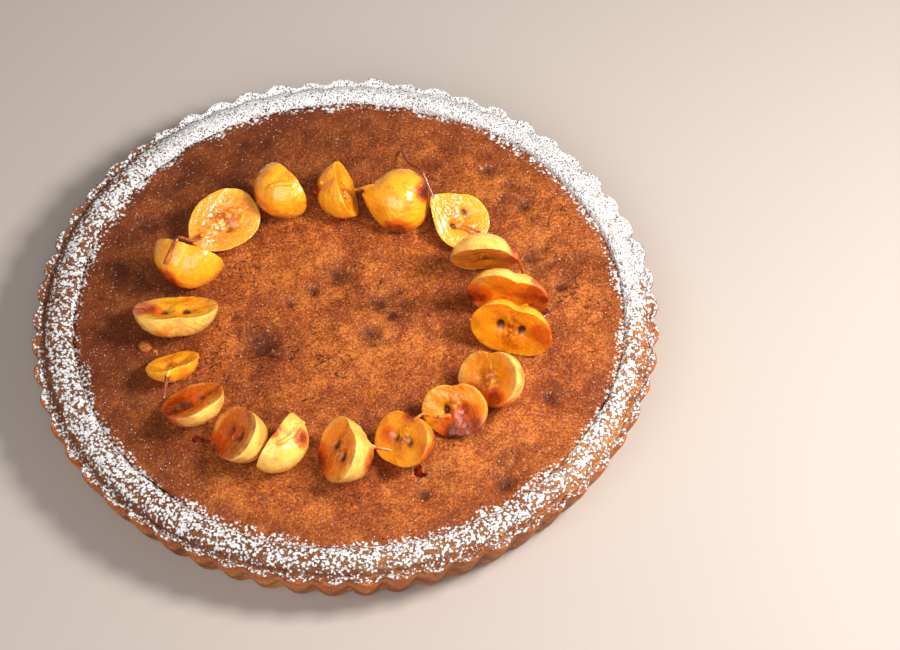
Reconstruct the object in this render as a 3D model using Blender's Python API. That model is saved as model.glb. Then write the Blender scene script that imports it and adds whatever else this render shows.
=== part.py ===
"""Chestnut tart: a fluted pastry case, its baked filling and a ring of candied fruit halves.

Metres, +Z up. The origin is the centre of the flat underside, +X is to the right and +Y to the
back. Every piece is one closed solid, and pieces that touch keep a hair of clearance.
"""

import math
import random
from dataclasses import dataclass

import bmesh
import bpy
from mathutils import Matrix, Vector, noise
from mathutils.bvhtree import BVHTree

GAP = 0.0003  # clearance between pieces that touch

# Pastry case
FLUTES = 57
STEPS_PER_FLUTE = 4
FLUTE_DEPTH = 0.0036
FLUTE_FULLNESS = 0.6  # below 1 the flutes are fuller and the valleys between them sharper
TOP_RADIUS = 0.130  # over the flutes, at the scalloped edge
BASE_RADIUS = 0.1225  # over the flutes, at the foot
OUT_OF_ROUND = 0.0006
OUT_OF_ROUND_WAVES = ((2, 0.8), (5, 2.0))  # waves per turn and starting angle
FOOT_CHAMFER = 0.0012
EDGE_HEIGHT = 0.0218  # top of the scalloped edge
EDGE_UNEVENNESS = 0.0011
CHIPPING_SEED = 11
EDGE_ROUNDING = 0.0010
EDGE_SHOULDER = 0.0016  # where the rounding starts, below the top
EDGE_THICKNESS = 0.0026
EDGE_THINNEST = 0.0016  # between two flutes
EDGE_FALL = 0.0003  # from the edge's outer side to its inner side
GROOVE_HEIGHT = 0.0192  # bottom of the fold between the scalloped edge and the rim
GROOVE_SETBACK = 0.0018  # from the valleys between the flutes inwards
GROOVE_SCALLOP = 0.0007
RIM_HEIGHT = 0.0245  # crest of the domed rim
RIM_UNEVENNESS = 0.0005
RIM_UNEVEN_LENGTH = 0.012
RIM_SHOULDER = 0.0018
RIM_SHOULDER_RISE = 0.72  # of the way from the groove to the crest
RIM_CREST_PLACE = 0.62  # of the way from the filling to the groove
RIM_SLOPE_PLACE = 0.22
RIM_SLOPE_RISE = 0.7  # of the way from the rim's inner edge to the crest
GROOVE_CLOSED_AT = math.radians(50)  # the fold is nearly shut at the back right
GROOVE_SHALLOWEST = 0.0012  # below the scalloped edge
FLOOR_THICKNESS = 0.0035

# Filling
FILLING_RADIUS = 0.1125
FILLING_OFFSET = Vector((0.0017, 0.0013))  # the case is wider at the left and the front
FILLING_OUT_OF_ROUND = 0.0007
FILLING_WAVES = ((3, 0.4), (7, 1.9), (11, 4.0))
FILLING_EDGE_HEIGHT = 0.0216
FILLING_RISE = 0.0012  # how far the baked top stands above its edge
FILLING_RISE_WIDTH = 0.020
FILLING_SWELL = 0.0007  # the soft swells of the baked top
FILLING_SWELL_LENGTH = 0.030
FILLING_SEGMENTS = 76
FILLING_RINGS = 15
LIP_HEIGHT = 0.0007  # the rim's inner edge above the filling

# Sunk spots in the baked top: x, y, radius, depth
SUNK_SPOTS = (
    (-0.035, -0.013, 0.0085, 0.0013),
    (-0.004, 0.020, 0.0070, 0.0010),
    (0.018, 0.007, 0.0085, 0.0012),
    (0.011, -0.011, 0.0070, 0.0009),
    (0.068, 0.068, 0.0090, 0.0012),
    (0.080, 0.031, 0.0075, 0.0010),
    (0.094, 0.028, 0.0070, 0.0009),
    (0.036, -0.079, 0.0075, 0.0010),
    (0.069, -0.069, 0.0080, 0.0010),
    (-0.090, 0.018, 0.0080, 0.0008),
)

# Candied fruit
FRUIT_SIDES = 18
SKIN_RINGS = 5
CUT_RINGS = 4
OUTLINE_ASPECT = 0.84  # along the stem against across it
STEM_END_DIMPLE = 0.13
FLOWER_END_DIMPLE = 0.06
CROWN_WIDTH = 0.38  # radians round the stem that a crown is drawn out of
STEM_DIMPLE_WIDTH = 0.24  # radians
FLOWER_DIMPLE_WIDTH = 0.30
CUT_HOLLOW = 0.05  # how far the cut face sinks in the middle, in radii
SEED_PIT_DEPTH = 0.14
SEED_PIT_SPREAD = 0.30  # from the core's axis, in radii
SEED_PIT_WIDTH = 0.17
LUMPINESS = 0.05
LUMP_SIZE = 0.9  # in radii
LUMP_STEP = Vector((7.3, 2.1, 0))  # from one fruit's lumps to the next one's
SETTLE = 0.0012  # how deep a half is pressed flat where it lies on the filling
STEM_SIDES = 6
STEM_RADIUS = 0.0010
STEM_TAPER = 0.75  # tip radius against root radius
STEM_BEDDING = 0.4  # how far a stem stands proud of its own fruit, in radii
STEM_CHECKS = 8  # directions round a stem in which its clearance is looked up
STEM_EASING = 3  # passes that take the dips out of a stem

ABOVE_ALL = 1.0  # a height well above the tart

PASTRY_COLOUR = (0.55, 0.25, 0.08)
FILLING_COLOUR = (0.32, 0.11, 0.035)
FRUIT_COLOUR = (0.80, 0.40, 0.06)


def turned(x, y):
    """The angle of a point seen from the tart's centre."""
    return math.atan2(y, x)


def wave(angle, size, terms):
    """A slow wave round the tart: terms are pairs of waves per turn and starting angle."""
    return size * sum(math.sin(count * angle + start) for count, start in terms) / len(terms)


def gauss(distance, width):
    return math.exp(-((distance / width) ** 2))


def mix(a, b, share):
    return a + (b - a) * share


# --- Mesh helpers -------------------------------------------------------------------------


def ring(bm, count, place):
    """A closed ring of vertices; place(angle) gives the radius and height at an angle."""
    verts = []
    for step in range(count):
        angle = math.tau * step / count
        radius, height = place(angle)
        verts.append(bm.verts.new((radius * math.cos(angle), radius * math.sin(angle), height)))
    return verts


def bridge(bm, lower, upper):
    """Quads between two rings of the same count."""
    count = len(lower)
    for i in range(count):
        j = (i + 1) % count
        bm.faces.new((lower[i], lower[j], upper[j], upper[i]))


def bridge_halved(bm, fine, coarse):
    """Triangles from a ring to one with half as many vertices."""
    count = len(coarse)
    for i in range(count):
        j = (i + 1) % count
        start, middle, end = fine[2 * i], fine[2 * i + 1], fine[(2 * i + 2) % len(fine)]
        bm.faces.new((start, middle, coarse[i]))
        bm.faces.new((middle, coarse[j], coarse[i]))
        bm.faces.new((middle, end, coarse[j]))


def principled(name, colour, roughness, coat=0.0):
    material = bpy.data.materials.new(name)
    material.use_nodes = True
    shader = material.node_tree.nodes["Principled BSDF"]
    shader.inputs["Base Color"].default_value = (*colour, 1.0)
    shader.inputs["Roughness"].default_value = roughness
    shader.inputs["Coat Weight"].default_value = coat
    return material


def add_object(name, bm, material, smooth_angle=math.radians(40)):
    """Turns a bmesh into an object with its faces pointing out."""
    bmesh.ops.recalc_face_normals(bm, faces=bm.faces)
    mesh = bpy.data.meshes.new(name)
    bm.to_mesh(mesh)
    mesh.materials.append(material)
    mesh.shade_smooth()
    mesh.set_sharp_from_angle(angle=smooth_angle)
    obj = bpy.data.objects.new(name, mesh)
    bpy.context.scene.collection.objects.link(obj)
    return obj


# --- Filling ------------------------------------------------------------------------------


def filling_radius(angle):
    """Where the rim's inner edge runs, seen from the tart's centre."""
    offset = FILLING_OFFSET.x * math.cos(angle) + FILLING_OFFSET.y * math.sin(angle)
    uneven = wave(angle, FILLING_OUT_OF_ROUND, FILLING_WAVES)
    return FILLING_RADIUS + offset + uneven


def filling_height(x, y):
    """The baked top: level in the middle, lower towards the rim, with soft swells and sunk spots."""
    inwards = filling_radius(turned(x, y)) - math.hypot(x, y)
    height = FILLING_EDGE_HEIGHT + FILLING_RISE * (1 - gauss(max(inwards, 0), FILLING_RISE_WIDTH))
    swell = noise.noise(Vector((x, y, 0)) / FILLING_SWELL_LENGTH)
    height += FILLING_SWELL * swell * min(inwards / FILLING_RISE_WIDTH, 1)
    for spot_x, spot_y, radius, depth in SUNK_SPOTS:
        height -= depth * gauss(math.hypot(x - spot_x, y - spot_y), radius)
    return height


def filling_mesh():
    bm = bmesh.new()

    def top_at(share):
        def place(angle):
            radius = share * (filling_radius(angle) - GAP)
            return radius, filling_height(radius * math.cos(angle), radius * math.sin(angle))

        return place

    def underside(angle):
        return filling_radius(angle) - GAP, FLOOR_THICKNESS + GAP

    bottom = ring(bm, FILLING_SEGMENTS, underside)
    bm.faces.new(list(reversed(bottom)))
    outer = bottom
    for step in range(FILLING_RINGS, 0, -1):
        inner = ring(bm, FILLING_SEGMENTS, top_at(step / FILLING_RINGS))
        bridge(bm, outer, inner)
        outer = inner
    middle = bm.verts.new((0, 0, filling_height(0, 0)))
    for i, vert in enumerate(outer):
        bm.faces.new((vert, outer[(i + 1) % FILLING_SEGMENTS], middle))
    return bm


# --- Pastry case --------------------------------------------------------------------------


def flute(angle):
    """1 on the rounded tip of a flute, 0 in the sharp valley between two."""
    return abs(math.sin(FLUTES * angle / 2)) ** FLUTE_FULLNESS


def out_of_round(angle):
    return wave(angle, OUT_OF_ROUND, OUT_OF_ROUND_WAVES)


def fluted_radius(angle, tip_radius):
    return tip_radius + out_of_round(angle) - FLUTE_DEPTH * (1 - flute(angle))


def case_mesh():
    bm = bmesh.new()
    fine = FLUTES * STEPS_PER_FLUTE
    chipping = random.Random(CHIPPING_SEED)
    flute_levels = [chipping.uniform(-1, 1) for _ in range(FLUTES)]

    def edge_height(angle):
        level = flute_levels[int(angle / math.tau * FLUTES) % FLUTES]
        return EDGE_HEIGHT + EDGE_UNEVENNESS * level * flute(angle)

    def groove_radius(angle):
        valleys = TOP_RADIUS - FLUTE_DEPTH + out_of_round(angle)
        return valleys - GROOVE_SETBACK + GROOVE_SCALLOP * flute(angle)

    def underside(angle):
        return fluted_radius(angle, BASE_RADIUS) - FOOT_CHAMFER, 0

    def foot(angle):
        return fluted_radius(angle, BASE_RADIUS), FOOT_CHAMFER

    def shoulder(angle):
        return fluted_radius(angle, TOP_RADIUS), edge_height(angle) - EDGE_SHOULDER

    def edge_outside(angle):
        return fluted_radius(angle, TOP_RADIUS) - EDGE_ROUNDING, edge_height(angle)

    def edge_inside(angle):
        thickness = mix(EDGE_THINNEST, EDGE_THICKNESS, flute(angle))
        return fluted_radius(angle, TOP_RADIUS) - thickness, edge_height(angle) - EDGE_FALL

    def groove(angle):
        closed = (1 + math.cos(angle - GROOVE_CLOSED_AT)) / 2
        return groove_radius(angle), mix(GROOVE_HEIGHT, EDGE_HEIGHT - GROOVE_SHALLOWEST, closed)

    def rim_at(share, height):
        def place(angle):
            inner = filling_radius(angle) + GAP
            outer = groove_radius(angle) - RIM_SHOULDER
            radius = mix(inner, outer, share)
            point = Vector((radius * math.cos(angle), radius * math.sin(angle), 0))
            uneven = RIM_UNEVENNESS * noise.noise(point / RIM_UNEVEN_LENGTH)
            return radius, height + uneven

        return place

    def wall_foot(angle):
        return filling_radius(angle), FLOOR_THICKNESS

    outer = ring(bm, fine, underside)
    bm.faces.new(list(reversed(outer)))
    for place in (foot, shoulder, edge_outside, edge_inside, groove):
        inner = ring(bm, fine, place)
        bridge(bm, outer, inner)
        outer = inner

    lip = FILLING_EDGE_HEIGHT + LIP_HEIGHT
    coarse = fine // 2
    inner = ring(bm, coarse, rim_at(1, mix(GROOVE_HEIGHT, RIM_HEIGHT, RIM_SHOULDER_RISE)))
    bridge_halved(bm, outer, inner)
    outer = inner
    crest = rim_at(RIM_CREST_PLACE, RIM_HEIGHT)
    slope = rim_at(RIM_SLOPE_PLACE, mix(lip, RIM_HEIGHT, RIM_SLOPE_RISE))
    for place in (crest, slope, rim_at(0, lip), wall_foot):
        inner = ring(bm, coarse, place)
        bridge(bm, outer, inner)
        outer = inner
    bm.faces.new(outer)
    return bm


# --- Candied fruit ------------------------------------------------------------------------


@dataclass
class Half:
    """One half of a small fruit, leaning in the ring.

    aspect is the cut face's length from stem end to flower end against its width. lean is the
    cut face's tilt in degrees: 0 stands upright, 90 lies with the cut face up, and below 0 the
    skin is on top. twist turns the half on the spot. stem_turn says where in the cut face the
    stem end is: 0 points out of the ring, 90 up the slope. crown draws the stem end to a point,
    and trim is where the flower end is cut off, in radii from the middle.
    """

    place: tuple
    radius: float
    depth: float
    lean: float
    aspect: float = OUTLINE_ASPECT
    twist: float = 0
    stem_turn: float = 90
    crown: float = 0
    trim: float | None = None
    stems: tuple = ()


# Each stem is its thickness factor and the points that it passes over, from the root on.
LONG_STEM = (
    (0.0335, 0.0560),
    (0.0300, 0.0640),
    (0.0265, 0.0730),
    (0.0240, 0.0810),
    (0.0225, 0.0870),
)
ARCHING_STEM = (
    (0.0655, 0.0245),
    (0.0665, 0.0290),
    (0.0625, 0.0345),
    (0.0555, 0.0385),
    (0.0480, 0.0415),
)
DROOPING_STEM = (
    (-0.0605, 0.0360),
    (-0.0645, 0.0285),
    (-0.0672, 0.0228),
    (-0.0690, 0.0190),
    (-0.0738, 0.0115),
)
HALVES = (
    Half(
        (-0.0278, 0.0566),
        radius=0.0134,
        depth=0.0141,
        aspect=0.94,
        lean=-8,
        twist=17,
        stems=((1.1, ((-0.0205, 0.0520), (-0.0265, 0.0520), (-0.0325, 0.0520))),),
    ),
    Half(
        (-0.0041, 0.0583),
        radius=0.0134,
        depth=0.0141,
        lean=26,
        twist=4,
        trim=0.75,
        stems=((0.8, ((-0.0095, 0.0575), (-0.0120, 0.0590), (-0.0145, 0.0605))),),
    ),
    Half(
        (0.0207, 0.0525),
        radius=0.0140,
        depth=0.0133,
        aspect=0.91,
        lean=-50,
        twist=100,
        stem_turn=0,
        crown=0.30,
        stems=((1.0, ((0.0125, 0.0560), (0.0080, 0.0575), (0.0030, 0.0590))),),
    ),
    Half(
        (0.0475, 0.0438),
        radius=0.0120,
        depth=0.0075,
        aspect=1.01,
        lean=62,
        twist=-23,
        stem_turn=125,
        crown=0.42,
        stems=((0.9, LONG_STEM),),
    ),
    Half(
        (0.0571, 0.0227),
        radius=0.0139,
        depth=0.0111,
        aspect=1.07,
        lean=-18,
        twist=-22,
        stem_turn=20,
        stems=(
            (0.8, ARCHING_STEM),
            (0.9, ((0.0670, 0.0225), (0.0720, 0.0200), (0.0755, 0.0150))),
        ),
    ),
    Half(
        (0.0669, 0.0043),
        radius=0.0178,
        depth=0.0107,
        aspect=0.70,
        lean=4,
        twist=-8,
        stem_turn=70,
    ),
    Half(
        (0.0680, -0.0134),
        radius=0.0177,
        depth=0.0113,
        aspect=0.75,
        lean=14,
        stem_turn=80,
        stems=((0.8, ((0.0725, -0.0105), (0.0750, -0.0060), (0.0770, -0.0020))),),
    ),
    Half(
        (0.0600, -0.0402),
        radius=0.0156,
        depth=0.0155,
        aspect=0.78,
        lean=41,
        twist=-22,
        stem_turn=130,
    ),
    Half(
        (0.0451, -0.0532),
        radius=0.0144,
        depth=0.0109,
        aspect=0.79,
        lean=42,
        twist=21,
        stem_turn=115,
        stems=((0.9, ((0.0415, -0.0560), (0.0350, -0.0615), (0.0290, -0.0665))),),
    ),
    Half(
        (0.0252, -0.0693),
        radius=0.0143,
        depth=0.0145,
        aspect=0.79,
        lean=47,
        twist=7,
        stem_turn=123,
    ),
    Half(
        (0.0017, -0.0750),
        radius=0.0150,
        depth=0.0158,
        lean=36,
        twist=7,
        stem_turn=110,
        stems=((0.9, ((0.0115, -0.0745), (0.0160, -0.0742), (0.0205, -0.0738))),),
    ),
    Half(
        (-0.0234, -0.0686),
        radius=0.0141,
        depth=0.0138,
        aspect=0.72,
        lean=10,
        twist=-11,
        stems=((1.2, ((-0.0272, -0.0765), (-0.0215, -0.0735), (-0.0175, -0.0685), (-0.0150, -0.0615))),),
    ),
    Half(
        (-0.0411, -0.0671),
        radius=0.0151,
        depth=0.0155,
        aspect=0.78,
        lean=46,
        twist=30,
        stem_turn=140,
    ),
    Half((-0.0600, -0.0496), radius=0.0129, depth=0.0103, aspect=1.22, lean=55),
    Half(
        (-0.0695, -0.0290),
        radius=0.0116,
        depth=0.0087,
        lean=55,
        stems=((1.1, ((-0.0700, -0.0345), (-0.0710, -0.0405), (-0.0722, -0.0465))),),
    ),
    Half((-0.0691, -0.0049), radius=0.0182, depth=0.0127, aspect=0.76, lean=57),
    Half((-0.0647, 0.0187), radius=0.0155, depth=0.0145, lean=16, stem_turn=100),
    Half(
        (-0.0511, 0.0444),
        radius=0.0129,
        depth=0.0080,
        aspect=1.25,
        lean=68,
        twist=-106,
        stem_turn=-175,
        crown=0.20,
        stems=((1.1, DROOPING_STEM),),
    ),
)


def outline(half, angle):
    """The cut face's outline: a round fruit with a dimple at each end, or drawn to a crown."""
    across = math.hypot(half.aspect * math.cos(angle), math.sin(angle))
    end = abs(math.remainder(angle, math.tau))
    if half.crown:
        stem_end = half.crown * gauss(end, CROWN_WIDTH)
    else:
        stem_end = -STEM_END_DIMPLE * gauss(end, STEM_DIMPLE_WIDTH)
    flower_end = -FLOWER_END_DIMPLE * gauss(math.pi - end, FLOWER_DIMPLE_WIDTH)
    return half.radius * (across + stem_end + flower_end)


def cut_face_height(half, x, y):
    """The cut face sinks a little in the middle and has a pit on each side of the core."""
    across = math.hypot(x, y) / half.radius
    hollow = CUT_HOLLOW * max(1 - across**2, 0)
    for side in (-1, 1):
        away = math.hypot(x, y - side * SEED_PIT_SPREAD * half.radius) / half.radius
        hollow += SEED_PIT_DEPTH * gauss(away, SEED_PIT_WIDTH)
    return -hollow * half.radius


def half_mesh(half, lumps):
    """A half with its cut face up and its stem end along +X."""
    bm = bmesh.new()

    def loop(share, depth_of):
        verts = []
        for step in range(FRUIT_SIDES):
            angle = math.tau * step / FRUIT_SIDES
            reach = share * outline(half, angle)
            x, y = reach * math.cos(angle), reach * math.sin(angle)
            verts.append(bm.verts.new((x, y, depth_of(x, y))))
        return verts

    outer = None
    for step in range(SKIN_RINGS):
        rise = math.pi / 2 * step / SKIN_RINGS
        inner = loop(math.cos(rise), lambda x, y, rise=rise: -half.depth * math.sin(rise))
        if outer:
            bridge(bm, outer, inner)
        else:
            rim = inner
        outer = inner
    pole = bm.verts.new((0, 0, -half.depth))
    for i, vert in enumerate(outer):
        bm.faces.new((vert, outer[(i + 1) % FRUIT_SIDES], pole))

    outer = rim
    for step in range(CUT_RINGS - 1, 0, -1):
        inner = loop(step / CUT_RINGS, lambda x, y: cut_face_height(half, x, y))
        bridge(bm, outer, inner)
        outer = inner
    core = bm.verts.new((0, 0, cut_face_height(half, 0, 0)))
    for i, vert in enumerate(outer):
        bm.faces.new((vert, outer[(i + 1) % FRUIT_SIDES], core))

    for vert in bm.verts:
        push = noise.noise(vert.co / (LUMP_SIZE * half.radius) + lumps)
        vert.co *= 1 + LUMPINESS * push
    if half.trim is not None:
        cut_off_flower_end(bm, -half.trim * half.radius)
    return bm


def cut_off_flower_end(bm, x):
    parts = bm.verts[:] + bm.edges[:] + bm.faces[:]
    bmesh.ops.bisect_plane(bm, geom=parts, plane_co=(x, 0, 0), plane_no=(-1, 0, 0), clear_outer=True)
    open_edges = [edge for edge in bm.edges if edge.is_boundary]
    bmesh.ops.edgeloop_fill(bm, edges=open_edges)


def leaning(half):
    """The rotation that leans a half in the ring, from cut face up and stem end along +X."""
    lean = math.radians(half.lean)
    stem_turn = math.radians(half.stem_turn)
    facing_angle = turned(*half.place) - math.pi / 2 + math.radians(half.twist)
    facing = Vector((math.cos(facing_angle), math.sin(facing_angle), 0))
    up = Vector((0, 0, 1))
    normal = facing * math.cos(lean) + up * math.sin(lean)
    slope = up * math.cos(lean) - facing * math.sin(lean)
    outwards = slope.cross(normal)
    stem_axis = outwards * math.cos(stem_turn) + slope * math.sin(stem_turn)
    return Matrix((stem_axis, normal.cross(stem_axis), normal)).transposed()


def surface_height(tree, x, y):
    """The height of a surface under a point, or None beside it."""
    hit = tree.ray_cast(Vector((x, y, ABOVE_ALL)), Vector((0, 0, -1)))[0]
    return hit.z if hit else None


def height_around(tree, x, y, reach):
    """The highest point of a surface within reach of a point, or None beside it."""
    heights = [surface_height(tree, x, y)]
    for corner in range(STEM_CHECKS):
        angle = math.tau * corner / STEM_CHECKS
        for offset in (reach, 2 * reach):
            beside = (x + offset * math.cos(angle), y + offset * math.sin(angle))
            heights.append(surface_height(tree, *beside))
    return max((height for height in heights if height is not None), default=None)


def place_half(bm, half, filling_tree):
    """Leans a half, sets it down in its place and presses its underside flat on the filling."""
    bmesh.ops.transform(bm, matrix=leaning(half).to_4x4(), verts=bm.verts)
    low = Vector([min(vert.co[axis] for vert in bm.verts) for axis in range(3)])
    high = Vector([max(vert.co[axis] for vert in bm.verts) for axis in range(3)])
    middle = (low + high) / 2
    x, y = half.place
    rest = surface_height(filling_tree, x, y) + GAP - SETTLE
    bmesh.ops.translate(bm, vec=(x - middle.x, y - middle.y, rest - low.z), verts=bm.verts)
    for vert in bm.verts:
        floor = surface_height(filling_tree, vert.co.x, vert.co.y) + GAP
        vert.co.z = max(vert.co.z, floor)


def rooted(point, own_tree, middle, radius):
    """The nearest place on the fruit's skin, moved far enough in for the stem to join."""
    surface = own_tree.find_nearest(point)[0]
    return surface + (middle - surface).normalized() * 2 * radius


def stem_mesh(route, thickness, middle, own_tree, other_trees):
    """A thin tube that rises from its own fruit and lies over whatever is below it."""
    radius = STEM_RADIUS * thickness
    points = []
    for x, y in smoothed(route):
        heights = [height_around(tree, x, y, radius) for tree in other_trees]
        heights = [height + radius + 2 * GAP for height in heights if height is not None]
        own = surface_height(own_tree, x, y)
        if own is not None:
            heights.append(own + STEM_BEDDING * radius)
        points.append(Vector((x, y, max(heights))))
    points[0] = rooted(points[0], own_tree, middle, radius)
    points = eased(points)

    bm = bmesh.new()
    outer = None
    for step, point in enumerate(points):
        before = points[max(step - 1, 0)]
        after = points[min(step + 1, len(points) - 1)]
        along = (after - before).normalized()
        side = along.cross(Vector((0, 0, 1))).normalized()
        over = side.cross(along)
        size = radius * mix(1, STEM_TAPER, step / (len(points) - 1))
        inner = []
        for corner in range(STEM_SIDES):
            angle = math.tau * corner / STEM_SIDES
            inner.append(bm.verts.new(point + size * (side * math.cos(angle) + over * math.sin(angle))))
        if outer:
            bridge(bm, outer, inner)
        else:
            bm.faces.new(list(reversed(inner)))
        outer = inner
    bm.faces.new(outer)
    bmesh.ops.recalc_face_normals(bm, faces=bm.faces)
    return bm


def smoothed(route):
    """The route's points with one more between each two, rounded off."""
    points = [Vector(route[0])]
    for start, end in zip(route, route[1:]):
        points.append((Vector(start) + Vector(end)) / 2)
        points.append(Vector(end))
    for i in range(2, len(points) - 1, 2):
        points[i] = points[i] / 2 + (points[i - 1] + points[i + 1]) / 4
    return points


def eased(points):
    """Raises each dip to the line between its neighbours, since a stem is stiff."""
    for _ in range(STEM_EASING):
        for i in range(1, len(points) - 1):
            bridged = (points[i - 1].z + points[i + 1].z) / 2
            points[i].z = max(points[i].z, bridged)
    return points


def add_stem(fruit, tube, count, material):
    """Joins a stem to its fruit; the tube itself stays as a hidden helper."""
    stem = add_object(f"{fruit.name}_stem_{count}", tube, material)
    stem.hide_render = True
    stem.display_type = "WIRE"
    join = fruit.modifiers.new(f"stem_{count}", "BOOLEAN")
    join.operation = "UNION"
    join.object = stem


def add_fruit(filling_tree):
    skin = principled("candied_fruit", FRUIT_COLOUR, roughness=0.25, coat=0.6)
    meshes = []
    for number, half in enumerate(HALVES):
        bm = half_mesh(half, number * LUMP_STEP)
        place_half(bm, half, filling_tree)
        meshes.append(bm)
    trees = [BVHTree.FromBMesh(bm) for bm in meshes]
    for number, (half, bm) in enumerate(zip(HALVES, meshes)):
        fruit = add_object(f"fruit_{number + 1:02d}", bm, skin)
        middle = sum((vert.co for vert in bm.verts), Vector()) / len(bm.verts)
        others = [filling_tree] + trees[:number] + trees[number + 1 :]
        for count, (thickness, route) in enumerate(half.stems):
            tube = stem_mesh(route, thickness, middle, trees[number], others)
            add_stem(fruit, tube, count, skin)


def main():
    for obj in list(bpy.data.objects):
        bpy.data.objects.remove(obj)
    add_object("crust", case_mesh(), principled("pastry", PASTRY_COLOUR, roughness=0.8))
    filling = filling_mesh()
    filling_tree = BVHTree.FromBMesh(filling)
    add_object("filling", filling, principled("baked_filling", FILLING_COLOUR, roughness=0.7))
    add_fruit(filling_tree)


main()
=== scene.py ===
# %% [markdown]
# # Dressing a chestnut tart
#
# The tart's solids already hold every size: a fluted pastry case, the baked filling in it and
# eighteen halves of small candied fruit with their stems. This lesson gives them their finish:
# icing sugar on the rim, a baked and slightly cracked filling, and fruit under caramel. It
# loads the solids first, because every piece takes its place and size from them.

# %% Load the solids
import math
from contextlib import contextmanager
from dataclasses import dataclass

import bpy
import numpy as np
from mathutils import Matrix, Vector, noise
from mathutils.bvhtree import BVHTree


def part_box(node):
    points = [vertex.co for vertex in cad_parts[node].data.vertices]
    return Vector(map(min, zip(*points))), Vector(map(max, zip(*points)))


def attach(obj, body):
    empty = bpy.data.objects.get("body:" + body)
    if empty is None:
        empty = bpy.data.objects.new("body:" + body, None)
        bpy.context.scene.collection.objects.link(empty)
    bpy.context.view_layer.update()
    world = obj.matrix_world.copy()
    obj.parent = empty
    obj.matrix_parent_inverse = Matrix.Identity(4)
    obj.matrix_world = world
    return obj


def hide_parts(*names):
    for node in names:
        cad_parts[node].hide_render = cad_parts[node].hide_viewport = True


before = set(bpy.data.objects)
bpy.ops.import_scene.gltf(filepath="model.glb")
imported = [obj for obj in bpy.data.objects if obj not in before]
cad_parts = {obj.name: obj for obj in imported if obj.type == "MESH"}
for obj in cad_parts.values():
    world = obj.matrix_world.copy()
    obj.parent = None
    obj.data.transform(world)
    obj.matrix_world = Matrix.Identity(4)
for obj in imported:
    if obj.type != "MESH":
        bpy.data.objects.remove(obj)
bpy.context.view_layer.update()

BODY = "root"
FILLING_CENTRE = (0.0017, 0.0013)
case_low, case_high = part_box("crust")

# %% [markdown]
# ## Small tools
#
# A modelling operator acts on whatever is selected, so each step starts by selecting one object
# and nothing else. A finished piece is a copy of its solid with much finer faces. The copy could
# also be modelled again from nothing, but then it might drift away from the solid that it
# stands for, so it is safer to refine the solid's own mesh.

# %% Selecting and copying
MERGE_DISTANCE = 0.00001


def select_only(obj):
    bpy.ops.object.select_all(action="DESELECT")
    obj.hide_set(False)
    obj.select_set(True)
    bpy.context.view_layer.objects.active = obj


@contextmanager
def editing(obj, select=None):
    """Edit mode on one object, with its selection kept unless select says otherwise."""
    select_only(obj)
    bpy.ops.object.mode_set(mode="EDIT")
    if select:
        bpy.ops.mesh.select_all(action=select)
    yield
    bpy.ops.mesh.select_all(action="DESELECT")
    bpy.ops.object.mode_set(mode="OBJECT")


def merged_copy(node, name):
    """A copy of a solid whose loose triangles are joined at their corners."""
    obj = bpy.data.objects.new(name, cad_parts[node].data.copy())
    bpy.context.scene.collection.objects.link(obj)
    obj.data.name = name
    obj.data.materials.clear()
    with editing(obj, "SELECT"):
        bpy.ops.mesh.remove_doubles(threshold=MERGE_DISTANCE)
        bpy.ops.mesh.normals_make_consistent(inside=False)
    return obj


def join_into_quads(obj, bend, skew):
    """Joins triangles in pairs where both angles, in degrees, are small enough."""
    with editing(obj, "SELECT"):
        limits = {"face_threshold": math.radians(bend), "shape_threshold": math.radians(skew)}
        bpy.ops.mesh.tris_convert_to_quads(**limits)


def crease_sharp_edges(obj, angle, crease):
    """Keeps the sharp edges from being rounded away by the subdivision."""
    with editing(obj, "DESELECT"):
        bpy.ops.mesh.select_mode(type="EDGE")
        bpy.ops.mesh.edges_select_sharp(sharpness=math.radians(angle))
        bpy.ops.transform.edge_crease(value=crease)


# %% Rounding and roughening
CLOUD_DETAIL = 2


def apply_modifiers(obj):
    select_only(obj)
    for modifier in list(obj.modifiers):
        bpy.ops.object.modifier_apply(modifier=modifier.name)


def subdivide_smooth(obj, levels):
    modifier = obj.modifiers.new("rounder", "SUBSURF")
    modifier.levels = levels
    modifier.render_levels = levels
    apply_modifiers(obj)


def roughen(obj, size, height, group):
    """Pushes the surface in and out with a cloudy pattern of bumps of one size."""
    texture = bpy.data.textures.new(f"{obj.name}_bumps", "CLOUDS")
    texture.noise_scale = size
    texture.noise_depth = CLOUD_DETAIL
    modifier = obj.modifiers.new("bumps", "DISPLACE")
    modifier.texture = texture
    modifier.texture_coords = "LOCAL"
    modifier.strength = height
    modifier.mid_level = 0.5
    modifier.vertex_group = group
    apply_modifiers(obj)


# %% Reading, moving and painting points
LEAST_WEIGHT = 0.01


def rows_of(items, name):
    """Three numbers for each item of a mesh, read in one go."""
    values = np.empty(len(items) * 3, np.float32)
    items.foreach_get(name, values)
    return values.reshape(-1, 3).astype(float)


def points_of(obj):
    return rows_of(obj.data.vertices, "co")


def normals_of(obj):
    return rows_of(obj.data.vertex_normals, "vector")


def move_points(obj, points):
    obj.data.vertices.foreach_set("co", points.astype(np.float32).ravel())
    obj.data.update()


def paint(obj, name, values):
    """Stores one number per point, which a material reads as an attribute."""
    attribute = obj.data.attributes.new(name, "FLOAT", "POINT")
    attribute.data.foreach_set("value", np.clip(values, 0, 1).astype(np.float32))


def weigh(obj, name, values):
    """A vertex group, so that a modifier acts where its weight says."""
    group = obj.vertex_groups.new(name=name)
    for index, value in enumerate(values):
        if value > LEAST_WEIGHT:
            group.add([index], min(float(value), 1.0), "REPLACE")


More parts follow.
